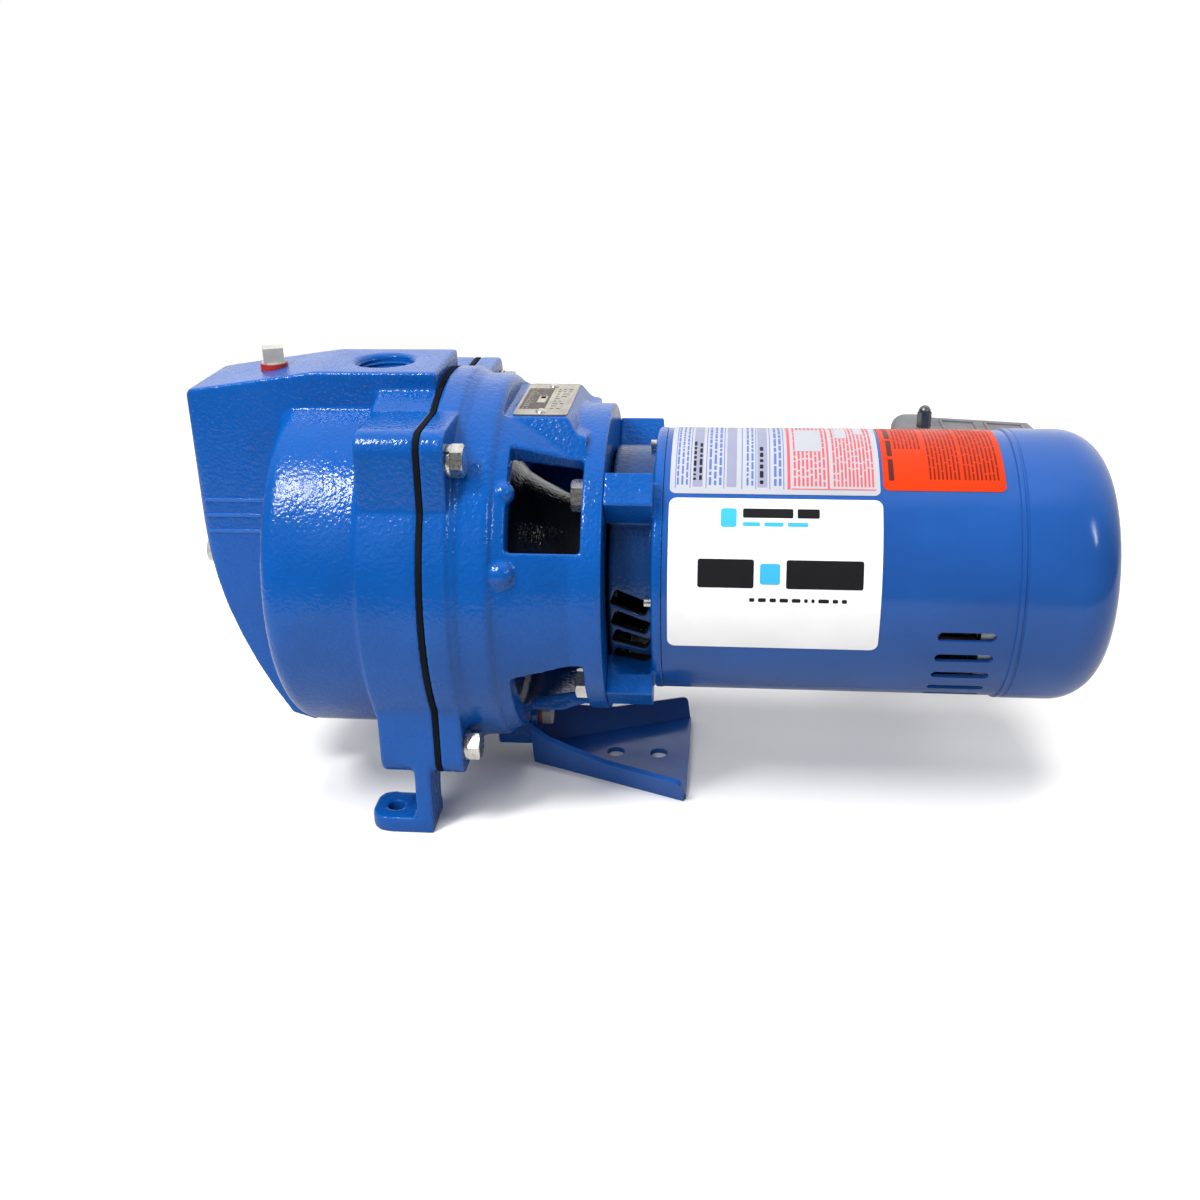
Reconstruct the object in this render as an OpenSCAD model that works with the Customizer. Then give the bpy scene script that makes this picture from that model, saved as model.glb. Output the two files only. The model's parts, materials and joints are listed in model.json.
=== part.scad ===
// Shallow well jet pump: cast iron pump end, motor adapter and close-coupled electric motor.
// Origin: middle of the line between the two front foot holes, on the floor.
// The shaft lies along X, with the motor towards +X and the suction port towards -X.

/* [Datum] */
// Height of the shaft above the floor
shaft_h = 127; // [125:0.5:130]
// Gasket plane between the casing and the motor adapter
gasket_x = 26.5; // [26:0.5:28]

/* [Casing] */
// Outer radius of the casing drum
drum_r = 94.5; // [93:0.5:96]
// Front end of the drum
drum_front_x = -57.5; // [-58:0.5:-57]
// Outer radius of the casing ring and of the adapter flange
flange_r = 104; // [103:0.5:105]
// Front end of the casing ring
ring_front_x = -5; // [-7:0.5:-3]
// Half width of the square that the four ears follow
ear_half_y = 88.5; // [88:0.5:90]
// Half height of the square that the four ears follow
ear_half_z = 93.5; // [92:0.5:94]
// Wall of the castings
cast_wall = 7; // [6:0.5:8]
// Half width of the suction nose
nose_half = 29; // [28:0.5:30]
// Front face of the suction nose
nose_front_x = -110; // [-112:0.5:-109]
// Top of the nose above the shaft
nose_top = 109.5; // [108.5:0.5:110]
// Radius of the curve down the front of the nose
nose_curve_r = 246; // [240:1:252]

/* [Ports] */
// Tap drill radius of the discharge port (1 inch pipe thread)
discharge_r = 14.7; // [14.5:0.1:15]
// Centre of the discharge port
discharge_x = -7; // [-9:0.5:-5]
// Tap drill radius of the suction port (1 1/4 inch pipe thread)
suction_r = 19.05; // [18.8:0.05:19.2]
// Suction port above the shaft
suction_up = 74; // [73:0.5:75]
// Radius of the small pipe plugs (1/4 inch pipe thread)
plug_r = 6.6; // [6.4:0.1:6.8]

/* [Feet] */
// Half the distance between the two front foot holes
foot_half_span = 76.6; // [76:0.1:77]
// Radius of the front foot holes
foot_hole_r = 4.5; // [4.3:0.1:4.8]
// First hole of the rear bracket
bracket_hole_x = 113.5; // [113:0.5:114]
// Distance between the holes of the rear bracket
bracket_pitch = 25.4; // [25:0.1:26]
// Radius of the holes of the rear bracket
bracket_hole_r = 5.15; // [5:0.05:5.3]
// Sheet of the rear bracket
bracket_t = 3; // [2.5:0.5:3]

/* [Adapter] */
// Back face of the adapter flange
flange_back_x = 41; // [40:0.5:41]
// Outer radius of the adapter drum
adapter_r = 100; // [99:0.5:101]
// Outer radius of the motor mounting ring
mount_ring_r = 84.4; // [84:0.2:85]
// Front face of the motor mounting ring
mount_ring_x = 104; // [104:0.5:105]
// Face where the motor meets the adapter
motor_face_x = 114.6; // [114:0.2:115]
// Lower edge of a window, in degrees above the level of the shaft
window_low = 21.5; // [20:0.5:23]
// Upper edge of a window, in degrees above the level of the shaft
window_high = 56; // [55:0.5:57]
// Bottom edge of a lower window, in degrees below the level of the shaft
window_bottom = 75; // [74:0.5:76]

/* [Bolts] */
// Radius of the circle of the casing bolts
casing_bolt_circle = 110.5; // [110:0.5:111]
// Shank radius of the casing bolts (3/8 inch)
casing_bolt_r = 4.7; // [4.6:0.05:4.75]
// Radius of the circle of the motor bolts
motor_bolt_circle = 74.6; // [74.4:0.1:74.8]
// Shank radius of the motor bolts (3/8 inch)
motor_bolt_r = 4.7; // [4.6:0.05:4.75]

/* [Motor] */
// Outer radius of the motor shell (48 frame)
shell_r = 71.3; // [71:0.1:71.6]
// Front edge of the motor shell
shell_x = 144; // [143.5:0.5:144.5]
// Seam between the shell and the end cover
seam_x = 319.7; // [319:0.1:320]
// Back of the end cover
cover_x = 372.5; // [371:0.5:374]
// Corner radius of the end cover
cover_round = 25; // [23:0.5:27]
// Shaft radius between the bearing and the impeller (5/8 inch)
shaft_r = 7.94; // [7.9:0.01:7.98]
// Bore radius of the two ball bearings
bearing_bore = 8.5; // [8.5:0.1:8.6]

/* [Switch] */
// Near side of the pressure switch cover
switch_y = 79; // [78:0.5:80]
// Length of the pressure switch cover
switch_len = 94; // [92:0.5:95]
// Depth of the pressure switch cover
switch_depth = 58; // [57:0.5:59]
// Left end of the pressure switch cover
switch_x = 277; // [276:0.5:277]
// Top of the pressure switch cover above the shaft
switch_top = 46; // [45:0.5:47]

/* [Hidden] */
$fn = 96;

blue = "#1f63bd";
zinc = "#c3c6c8";
dark = "#2b2d31";
steel = "#8d9299";
copper = "#b4693a";

fit_gap = 0.05;      // radial gap of a running fit
thread_gap = 0.05;   // gap between a screw and its threaded hole
nut_r = 8.25;        // corner radius of a 3/8 inch hexagon head
nut_h = 6.2;         // height of a 3/8 inch hexagon head
washer_h = 2.2;      // height of a lock washer
gasket_t = 2.5;
adapter_front_x = gasket_x + gasket_t;
nose_slope = 8.04;        // fall of the nose's top towards its front, in degrees
nose_slope_x = -38;       // where that fall starts
plug_x = -68;             // priming plug
nozzle_seat_x = -85;      // front of the wall that carries the nozzle
diffuser_front_x = 3;
diffuser_screw_r = 80;
impeller_r = 56;
web_x = 47;               // front of the adapter's web
web_back_x = 58;          // back of the adapter's web
seat_r = 15.9;            // radius of the seal seat
foot_bolt_down = 99.5;    // bracket bolt below the shaft
plate_up = 88.5;          // underside of the nameplate above the shaft
tab_x = 66.2;             // front face of the bracket's tab
bracket_rear_x = 156.5;
wall_run = 97;            // length of a side wall of the bracket
wall_yaw = 23.2;          // angle of a side wall to the shaft
wall_lean = 21;           // lean of a side wall out of the vertical
bearing_w = 12;
front_bearing_x = 124;
rear_bearing_x = 307;
race_r = 14.25;           // pitch radius of the balls
ball_r = 3.35;
bracket_rim_x = 138.5;
through_r = 64.6;         // circle of the through bolts
stator_x = 172;
stator_len = 80;
rotor_r = 38;
slots = 24;
slot_angles = [-10.5, -21.7, -33, -45, -57];
governor_x = 270;
weight_pivot_x = governor_x + 8;
weight_pivot_r = 17;
collar_x = governor_x + 12;
arm_x = collar_x + 12;
arm_pivot_z = -34;
cover_r = 72.4;
cover_t = 1.6;
cover_screw = [30, -14];
nipple_x = switch_x - 12;
nipple_up = 12;
base_down = -6;           // underside of the switch base from the shaft
stud_x = switch_x + 16;   // stud of the cover nut
spring_x = switch_x + 34;
lever_x = switch_x + 66;  // pin of the switch lever
lever_up = base_down + 11;
switch_mid_x = switch_x + switch_len / 2;
switch_mid_y = switch_y + switch_depth / 2;
tube_r = 3.2;
tube_bend = 16;
tube_up = -60;
tapping_x = -28;          // drain plug and pressure tapping

// Points of an arc of radius r about (x, y), from angle a to angle b in n steps
function arc(x, y, r, a, b, n = 5) =
  [for (i = [0:n]) [x + r * cos(a + (b - a) * i / n), y + r * sin(a + (b - a) * i / n)]];

// Puts children on the shaft line: their X points to +Y, their Y to +Z and their Z to +X
module on_shaft(x = 0) { translate([x, 0, shaft_h]) rotate([90, 0, 90]) children(); }

// Turned piece on the shaft line; the points are [radius, x]
module turned(points) { on_shaft() rotate_extrude() polygon(points); }

// Ring on the shaft line from x to x + w
module ring(x, w, r_out, r_in) {
  on_shaft(x) difference() {
    cylinder(r = r_out, h = w);
    translate([0, 0, -1]) cylinder(r = r_in, h = w + 2);
  }
}

// Round bar along X at a place (y, z) measured from the shaft
module bar_x(x, w, y, z, r) { on_shaft(x) translate([y, z, 0]) cylinder(r = r, h = w); }

// Four copies on a circle at 45 degrees
module four_corners(radius) {
  for (a = [45:90:315]) translate([radius * cos(a), radius * sin(a), 0]) rotate([0, 0, a]) children();
}

// Wedge of a disc between two angles
module sector(r, a, b) {
  polygon([[0, 0], [r * cos(a), r * sin(a)],
           [r / cos((b - a) / 2) * cos((a + b) / 2), r / cos((b - a) / 2) * sin((a + b) / 2)],
           [r * cos(b), r * sin(b)]]);
}

// Rectangle with round corners, centred
module round_rect(w, h, r) {
  union() {
    square([w - 2 * r, h], center = true);
    square([w, h - 2 * r], center = true);
    for (x = [-1, 1], y = [-1, 1]) translate([x * (w / 2 - r), y * (h / 2 - r)]) circle(r = r, $fn = 32);
  }
}

// Hexagon bolt: the head stands on z = 0 and the shank goes down
module hex_bolt(r, length, corner, head_h) {
  difference() {
    cylinder(r = corner, h = head_h, $fn = 6);
    translate([0, 0, head_h - 0.8]) difference() {
      cylinder(r = corner + 1, h = 2);
      translate([0, 0, -0.1]) cylinder(r1 = corner + 0.1, r2 = corner - 2.8, h = 2.2);
    }
  }
  translate([0, 0, -length]) cylinder(r = r, h = length + 0.5, $fn = 48);
}

// Split lock washer with its bottom face on z = 0
module lock_washer(r_in, r_out, h) {
  difference() {
    cylinder(r = r_out, h = h, $fn = 48);
    translate([0, 0, -1]) cylinder(r = r_in, h = h + 2, $fn = 48);
    translate([0, -0.5, -1]) rotate([0, 20, 0]) cube([r_out + 2, 1, h + 4]);
  }
}

// Square-headed pipe plug: the head stands on z = 0 and the thread goes down
module pipe_plug(r, length, across, head_h) {
  translate([-across / 2, -across / 2, 0]) cube([across, across, head_h]);
  translate([0, 0, -length]) cylinder(r = r, h = length + 0.5, $fn = 48);
}

// One sweep of a round wire of radius wire_r along a helix about Z
module helix(coil_r, wire_r, pitch, turns, steps = 16, sides = 6) {
  n = round(turns * steps);
  ring_at = function (i) [for (k = [0:sides - 1])
    let (a = 360 * i / steps, q = 360 * k / sides, r = coil_r + wire_r * cos(q))
    [r * cos(a), r * sin(a), pitch * i / steps + wire_r * sin(q)]];
  points = [for (i = [0:n]) each ring_at(i)];
  walls = [for (i = [0:n - 1], k = [0:sides - 1])
    [i * sides + k, i * sides + (k + 1) % sides, (i + 1) * sides + (k + 1) % sides, (i + 1) * sides + k]];
  ends = [[for (k = [sides - 1:-1:0]) k], [for (k = [0:sides - 1]) n * sides + k]];
  polyhedron(points, concat(walls, ends));
}

// ---------- pump end ----------

// Square of the ears joined with the flange circle
module flange_outline() {
  union() {
    circle(r = flange_r);
    round_rect(2 * ear_half_y, 2 * ear_half_z, 10);
  }
}

module nose_profile() {
  curve_top = shaft_h + 45;
  polygon(concat(
    [[gasket_x, shaft_h + nose_top], [nose_slope_x, shaft_h + nose_top]],
    [[nose_front_x + 4, shaft_h + nose_top - 9.6], [nose_front_x, shaft_h + nose_top - 13]],
    arc(nose_front_x + nose_curve_r, curve_top, nose_curve_r, 180, 213, 8),
    [[drum_front_x, shaft_h - 93], [gasket_x, shaft_h - 60]]));
}

module nose_plan() {
  polygon(concat(
    [[gasket_x, -nose_half], [gasket_x, nose_half]],
    arc(nose_front_x + 9, nose_half - 9, 9, 90, 180),
    arc(nose_front_x + 9, 9 - nose_half, 9, 180, 270)));
}

module nose() {
  intersection() {
    translate([0, nose_half, 0]) rotate([90, 0, 0]) linear_extrude(2 * nose_half) nose_profile();
    linear_extrude(shaft_h + nose_top + 1) nose_plan();
  }
}

// Front foot on the side of +Y: a pad on the floor and a web up to the ear
module front_foot() {
  pad_back = 23;
  difference() {
    union() {
      linear_extrude(9) polygon(concat(
        [[pad_back, 64], [pad_back, 90]], arc(-2, 80, 10, 90, 180), arc(-4, 70, 8, 180, 270)));
      translate([pad_back, 0, 0]) rotate([90, 0, -90]) linear_extrude(9)
        polygon(concat([[-90, 0], [-66, 0]],
          [for (i = [0:6]) [-66 + 22 * (1 - cos(15 * i)), 6 + 42 * sin(15 * i)]],
          [[-44, 52], [-80, 52]], [[-88.5, 46]]));
    }
    translate([0, foot_half_span, -1]) cylinder(r = foot_hole_r, h = 12);
  }
}

module casing_body() {
  round_front = 9;
  turned(concat(
    [[0, drum_front_x]],
    arc(drum_r - round_front, drum_front_x + round_front, round_front, -90, 0),
    [[drum_r, ring_front_x - 3], [drum_r + 2, ring_front_x - 0.5], [flange_r - 1, ring_front_x],
     [flange_r, ring_front_x + 1], [flange_r, gasket_x], [0, gasket_x]]));
  on_shaft(gasket_x - 30) linear_extrude(30) flange_outline();
  nose();
  for (s = [-1, 1]) on_side(s) front_foot();
}

module on_side(s) { if (s > 0) children(); else mirror([0, 1, 0]) children(); }

module casing_cavities() {
  inner_r = drum_r - cast_wall;
  // drum chamber
  turned([[0, drum_front_x + cast_wall], [inner_r - 6, drum_front_x + cast_wall],
          [inner_r, drum_front_x + cast_wall + 6], [inner_r, gasket_x + 1], [0, gasket_x + 1]]);
  // suction chamber above the nozzle
  translate([-79, -20, shaft_h - 17]) cube([21.5, 40, 112]);
  // suction port from the front
  translate([nose_front_x - 1, 0, shaft_h + suction_up]) rotate([0, 90, 0]) {
    cylinder(r = suction_r, h = 34);
    cylinder(r1 = suction_r + 2.5, r2 = suction_r, h = 2.5);
  }
  // passage that feeds the nozzle from the drum
  translate([0, 18, 0]) rotate([90, 0, 0]) linear_extrude(36)
    polygon([[-102, shaft_h + 18], [nozzle_seat_x, shaft_h + 18], [nozzle_seat_x, shaft_h - 24],
             [-49, shaft_h - 24], [-49, shaft_h - 58], [-76, shaft_h - 58], [-99, shaft_h - 12]]);
  // nozzle seat, venturi seat and clean-out hole
  bar_x(nozzle_seat_x - 1, 8, 0, 0, 9);
  bar_x(drum_front_x - 1, cast_wall + 2, 0, 0, 15);
  bar_x(nose_front_x - 1, 12, 0, 0, plug_r + thread_gap);
  // discharge port
  translate([discharge_x, 0, shaft_h + 80]) cylinder(r = discharge_r, h = 40);
  translate([discharge_x, 0, shaft_h + nose_top - 2])
    cylinder(r1 = discharge_r, r2 = discharge_r + 2, h = 2.01);
  // priming, drain and pressure tapping holes
  translate([plug_x, 0, shaft_h + 90]) cylinder(r = plug_r + thread_gap, h = 30);
  translate([tapping_x, 0, shaft_h - drum_r - 1]) cylinder(r = plug_r + thread_gap, h = 12);
  translate([tapping_x, drum_r - 10, shaft_h]) rotate([-90, 0, 0]) cylinder(r = plug_r + thread_gap, h = 14);
  // threaded holes of the casing bolts
  on_shaft(gasket_x - 24) four_corners(casing_bolt_circle) cylinder(r = casing_bolt_r + thread_gap, h = 30);
}

module casing() {
  color(blue) difference() {
    union() {
      casing_body();
      // boss around the pressure tapping
      translate([tapping_x, drum_r - 6, shaft_h]) rotate([-90, 0, 0]) cylinder(r = 12, h = 9);
    }
    casing_cavities();
  }
}

module casing_gasket() {
  color("black") on_shaft(gasket_x) linear_extrude(gasket_t) difference() {
    flange_outline();
    circle(r = drum_r - cast_wall);
    four_corners(casing_bolt_circle) circle(r = casing_bolt_r + 0.6);
  }
}

module priming_plug() {
  color(zinc) translate([plug_x, 0, shaft_h + nose_top - 1.4]) rotate([0, 0, 22])
    pipe_plug(plug_r, 12, 10.5, 8.3);
}

module plug_sealant() {
  color("#b3261e") difference() {
    translate([plug_x, 0, shaft_h + nose_top - 6]) cylinder(r = 7.2, h = 4.5);
    translate([plug_x, 0, shaft_h + nose_top - 7]) cylinder(r = plug_r + thread_gap, h = 7);
    translate([nose_slope_x, 0, shaft_h + nose_top]) rotate([0, -nose_slope, 0]) translate([-80, -20, -10])
      cube([90, 40, 10]);
  }
}

module nozzle_plug() {
  color(zinc) translate([nose_front_x - 1.2, 0, shaft_h]) rotate([0, -90, 0]) hex_bolt(plug_r, 10, 8, 6.5);
}

module drain_plug() {
  color(zinc) translate([tapping_x, 0, shaft_h - drum_r - 1]) rotate([180, 0, 0])
    pipe_plug(plug_r, 7, 9.5, 7);
}

module nozzle() {
  color("#c79a3c") turned([[3, -64], [3.4, -64], [7, -78], [8.9, -78.2], [8.9, -84.9], [12.5, -85.2],
                           [12.5, -89], [5.5, -89], [3, -70]]);
}

module venturi() {
  color("#20242a") turned([[14.9, -57.4], [14.9, -50.6], [17.5, -50.4], [17.5, -47], [13.5, -43], [14, -2.5],
                           [13, -1.5], [13, 5], [10.5, 5], [6, -40], [8, -54], [12, -57.4]]);
}

module venturi_ring() {
  color("black") ring(1.05, 2.5, 14.55, 13.02);
}

module diffuser() {
  rim = adapter_front_x - 0.05;
  plate = diffuser_front_x + 6;
  color("#2d3238") difference() {
    union() {
      turned([[13.3, -1], [22, -1], [22, diffuser_front_x], [84, diffuser_front_x + 3], [84, rim], [76, rim],
              [76, plate + 1], [18.8, plate], [18.8, plate - 2.4], [13.3, plate - 2.4], [13.3, 3.6],
              [14.6, 3.6], [14.6, 1], [13.3, 1]]);
      for (a = [0:60:300]) on_shaft(plate) rotate([0, 0, a + 20]) translate([impeller_r + 3, 0, 0])
        rotate([0, 0, 58]) translate([0, -1.5, 0]) cube([26, 3, 17]);
    }
    on_shaft() for (a = [90, 210, 330]) rotate([0, 0, a]) translate([diffuser_screw_r, 0, 0])
      cylinder(r = 2.3, h = 40, $fn = 32);
  }
}

module diffuser_screws() {
  color(steel) on_shaft(diffuser_front_x + 2.6) for (a = [90, 210, 330]) rotate([0, 0, a])
    translate([diffuser_screw_r, 0, 0]) {
      translate([0, 0, -3]) cylinder(r = 3.8, h = 3);
      translate([0, 0, -0.5]) cylinder(r = 2, h = 34.5, $fn = 32);
    }
}

module impeller() {
  hub_back = 34.5;
  color("#3a3f45") union() {
    turned([[5.55, 14], [8, 14], [10, 22], [impeller_r, 22], [impeller_r, 24.5], [14, 25], [12, hub_back],
            [5.55, hub_back]]);
    turned([[15.4, 7], [18.4, 7], [19, 13], [impeller_r, 16.5], [impeller_r, 18], [18, 15], [15.4, 11]]);
    for (a = [0:60:300]) on_shaft(15.5) rotate([0, 0, a]) translate([19, 0, 0]) rotate([0, 0, 38])
      translate([0, -1, 0]) cube([38, 2, 7.2]);
  }
}

// ---------- adapter ----------

module window_cuts() {
  for (side = [0, 1], span = [[window_low, window_high], [-window_bottom, -window_low]])
    on_shaft(68) linear_extrude(mount_ring_x - 68) difference() {
      mirror([side, 0, 0]) sector(112, span[0], span[1]);
      circle(r = 62);
    }
}

// Pad over the top rib that carries the nameplate
module nameplate_pad() {
  intersection() {
    translate([0, 60, shaft_h]) rotate([90, 0, 0]) linear_extrude(120)
      polygon([[62, 72], [62, plate_up], [94.5, plate_up], [99.5, 81], [mount_ring_x + 1, 79.5],
               [mount_ring_x + 1, 72]]);
    on_shaft(60) linear_extrude(50) difference() {
      polygon([[-35, 89], [35, 89], [47.5, 69], [40, 58], [-40, 58], [-47.5, 69]]);
      circle(r = 76);
    }
  }
}

module adapter_shell() {
  wall_out = [[0, adapter_front_x], [flange_r - 1, adapter_front_x], [flange_r, adapter_front_x + 1],
              [flange_r, flange_back_x - 2], [flange_r - 1.5, flange_back_x], [flange_r - 1.8, 43.5],
              [adapter_r + 0.5, 46]];
  shoulder = arc(adapter_r - 4.5, 57.5, 4.5, 0, 70, 4);
  wall_in = [[mount_ring_r, mount_ring_x - 6], [mount_ring_r, motor_face_x], [57.2, motor_face_x],
             [57.2, mount_ring_x], [75.5, mount_ring_x - 1], [82, 70], [87, web_back_x + 4],
             [84, web_back_x], [0, web_back_x]];
  turned(concat(wall_out, shoulder, [[95, 67]], wall_in));
}

// Shaft guard behind the web
module hub() {
  turned([[60, web_back_x - 0.5], [53, 61], [47, 66], [42, 74], [35, 88], [29.5, 101], [25.5, 101],
          [31, 88], [37, 75], [41, 66], [43, web_back_x - 0.5]]);
}

module adapter() {
  color(blue) difference() {
    union() {
      adapter_shell();
      on_shaft(adapter_front_x) linear_extrude(flange_back_x - adapter_front_x) flange_outline();
      nameplate_pad();
      translate([46, -14, shaft_h - 113]) cube([20, 28, 22]);
    }
    // water side of the web
    turned([[0, adapter_front_x - 1], [74, adapter_front_x - 1], [74, web_x - 4], [70, web_x], [0, web_x]]);
    window_cuts();
    // flat seats of the nameplate and of the bracket's tab
    translate([62, -36, shaft_h + plate_up]) cube([mount_ring_x - 62, 72, 30]);
    translate([tab_x, -26, 0]) cube([32, 52, 41]);
    bar_x(web_x - 1, 9, 0, 0, seat_r + thread_gap);
    bar_x(web_x, 14, 0, 0, 11);
    on_shaft(adapter_front_x - 1) four_corners(casing_bolt_circle) cylinder(r = casing_bolt_r + 0.5, h = 20);
    on_shaft(mount_ring_x - 1) four_corners(motor_bolt_circle) cylinder(r = motor_bolt_r + 0.5, h = 14);
    bar_x(50, 20, 0, -foot_bolt_down, 4);
    for (y = [-27, 27]) translate([80, y, shaft_h + 78]) cylinder(r = 1.65, h = 20, $fn = 32);
    on_shaft(20) for (a = [90, 210, 330]) rotate([0, 0, a]) translate([diffuser_screw_r, 0, 0])
      cylinder(r = 2 + thread_gap, h = 22, $fn = 32);
  }
  color(blue) for (side = [-1, 1], a = [15, 40]) on_shaft(66)
    translate([side * 92 * cos(a), 92 * sin(a), 0]) sphere(r = a == 15 ? 7.2 : 5.8, $fn = 32);
  color(dark) difference() {
    hub();
    translate([60, -6, shaft_h - 60]) cube([50, 12, 50]);
  }
}

module casing_bolts() {
  color(zinc) on_shaft(flange_back_x + washer_h) four_corners(casing_bolt_circle)
    hex_bolt(casing_bolt_r, 34, nut_r, nut_h);
}

module casing_lock_washers() {
  color("#a9a18d") on_shaft(flange_back_x) four_corners(casing_bolt_circle)
    lock_washer(casing_bolt_r + 0.3, 8, washer_h);
}

module seal_seat() {
  color("#e8e2d2") ring(web_x + 0.2, 7.6, seat_r, 10.5);
}

module seal_head() {
  color(dark) turned([[shaft_r + 0.02, 37], [12.5, 37], [13.5, 41], [13.5, web_x - 0.3], [10.8, web_x - 0.3],
                      [10.8, 44], [shaft_r + 0.02, 44]]);
}

module seal_spring() {
  color(steel) translate([35.2, 0, shaft_h]) rotate([90, 0, 90]) helix(14.6, 0.7, 2.6, 3.5);
}

module slinger() {
  color(dark) turned([[shaft_r + 0.02, 84], [12, 84], [12, 87], [19, 88], [19, 90.5], [12, 91], [12, 94],
                      [shaft_r + 0.02, 94]]);
}

module nameplate() {
  color("#cdb98a") translate([80, 0, shaft_h + plate_up]) linear_extrude(0.8) difference() {
    round_rect(28, 66, 2);
    for (y = [-27, 27]) translate([0, y]) circle(r = 1.7, $fn = 32);
  }
}

module nameplate_pins() {
  color(zinc) for (y = [-27, 27]) translate([80, y, shaft_h + plate_up + 0.8]) {
    intersection() {
      translate([0, 0, -2]) sphere(r = 3.6, $fn = 32);
      cylinder(r = 3, h = 3, $fn = 32);
    }
    translate([0, 0, -7]) cylinder(r = 1.6, h = 7.5, $fn = 32);
  }
}

// ---------- rear foot ----------

module bracket_wall() {
  translate([tab_x + 1, -7, 0]) rotate([0, 0, -wall_yaw]) rotate([90 + wall_lean, 0, 0])
    linear_extrude(bracket_t) polygon(concat([[0, 0], [wall_run, 0], [wall_run, 13]],
      arc(wall_run - 3, 13, 3, 0, 90, 3), [[50, 17], [26, 22]],
      [for (i = [0:4]) [20 - 4.5 * i, 24 + 0.75 * i * i]], [[0, 38]]));
}

module foot_bracket() {
  color("#17406f") difference() {
    union() {
      linear_extrude(bracket_t)
        polygon([[tab_x, -7.5], [bracket_rear_x, -46], [bracket_rear_x, 46], [tab_x, 7.5]]);
      intersection() {
        union() {
          bracket_wall();
          mirror([0, 1, 0]) bracket_wall();
        }
        translate([tab_x, -80, 0]) cube([bracket_rear_x - tab_x, 160, 60]);
      }
      translate([tab_x, 0, 0]) rotate([90, 0, 90]) linear_extrude(bracket_t)
        polygon(concat([[-7.5, 0], [7.5, 0], [15, 28]], arc(7, 30, 8, 0, 90, 4), arc(-7, 30, 8, 90, 180, 4),
                       [[-15, 28]]));
    }
    for (i = [0, 1]) translate([bracket_hole_x + i * bracket_pitch, 0, -1])
      cylinder(r = bracket_hole_r, h = 6);
    translate([tab_x - 1, 0, shaft_h - foot_bolt_down]) rotate([0, 90, 0]) cylinder(r = 4.4, h = 6);
  }
}

module foot_bolt() {
  color(zinc) translate([tab_x + bracket_t + 2, 0, shaft_h - foot_bolt_down]) rotate([0, 90, 0])
    hex_bolt(3.95, 18, 7.3, 5.4);
}

module foot_lock_washer() {
  color("#a8562b") translate([tab_x + bracket_t, 0, shaft_h - foot_bolt_down]) rotate([0, 90, 0])
    lock_washer(4.2, 7, 2);
}

// ---------- motor ----------

module motor_bolts() {
  color(zinc) on_shaft(mount_ring_x) four_corners(motor_bolt_circle)
    mirror([0, 0, 1]) hex_bolt(motor_bolt_r, 26, nut_r, nut_h);
}

// Slanted vent openings of the front bracket on the side of +Y
module bracket_vents() {
  for (a = [-2, -13, -24, -37]) on_shaft(front_bearing_x + 2) rotate([0, 0, a])
    translate([52, 0, 1.6]) rotate([22, 0, 0]) translate([0, -4.2, -9.8]) cube([20, 8.4, 19.6]);
}

module motor_front_bracket() {
  color(blue) difference() {
    union() {
      turned([[57, motor_face_x - 4], [57, motor_face_x], [62, motor_face_x + 2.5], [62, bracket_rim_x],
              [70.3, bracket_rim_x], [71.6, bracket_rim_x + 1.2], [71.6, shell_x - 0.2],
              [69.1, shell_x - 0.2], [69.1, shell_x + 6], [66, shell_x + 6], [66, bracket_rim_x + 4],
              [57.5, bracket_rim_x - 1],
              [57.5, motor_face_x + 6], [26, motor_face_x + 6], [24.5, front_bearing_x + bearing_w],
              [20, front_bearing_x + bearing_w], [20, front_bearing_x], [13, front_bearing_x],
              [13, motor_face_x - 4]]);
      on_shaft(motor_face_x) four_corners(72) translate([-11, -9, 0]) cube([22, 18, 24.5]);
    }
    on_shaft(motor_face_x - 1) four_corners(motor_bolt_circle)
      cylinder(r = motor_bolt_r + thread_gap, h = 20);
    bracket_vents();
    mirror([0, 1, 0]) bracket_vents();
    on_shaft(shell_x - 12) for (a = [0:90:270]) rotate([0, 0, a]) translate([through_r, 0, 0])
      cylinder(r = 2.45, h = 20, $fn = 32);
  }
}

module bearing_set() {
  for (x = [front_bearing_x, rear_bearing_x]) translate([x, 0, 0]) children();
}

module bearing_outer_rings() {
  color(steel) bearing_set() difference() {
    ring(0, bearing_w, 19.98, 16.2);
    on_shaft(bearing_w / 2) rotate_extrude() translate([race_r, 0]) circle(r = ball_r + fit_gap, $fn = 48);
  }
}

module bearing_inner_rings() {
  color(steel) bearing_set() difference() {
    ring(0, bearing_w, 12.3, bearing_bore + 0.01);
    on_shaft(bearing_w / 2) rotate_extrude() translate([race_r, 0]) circle(r = ball_r + fit_gap, $fn = 48);
  }
}

module bearing_balls() {
  color("white") bearing_set() on_shaft(bearing_w / 2) for (i = [0:7])
    rotate([0, 0, 45 * i]) translate([race_r, 0, 0]) sphere(r = ball_r - 0.02, $fn = 32);
}

module bearing_cages() {
  color("#b08d45") bearing_set() difference() {
    ring(bearing_w / 2 - 4.6, 9.2, 15.3, 13.2);
    on_shaft(bearing_w / 2) for (i = [0:7]) rotate([0, 0, 45 * i]) translate([race_r - 4, 0, 0])
      rotate([0, 90, 0]) cylinder(r = ball_r + fit_gap, h = 8);
  }
}

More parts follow.
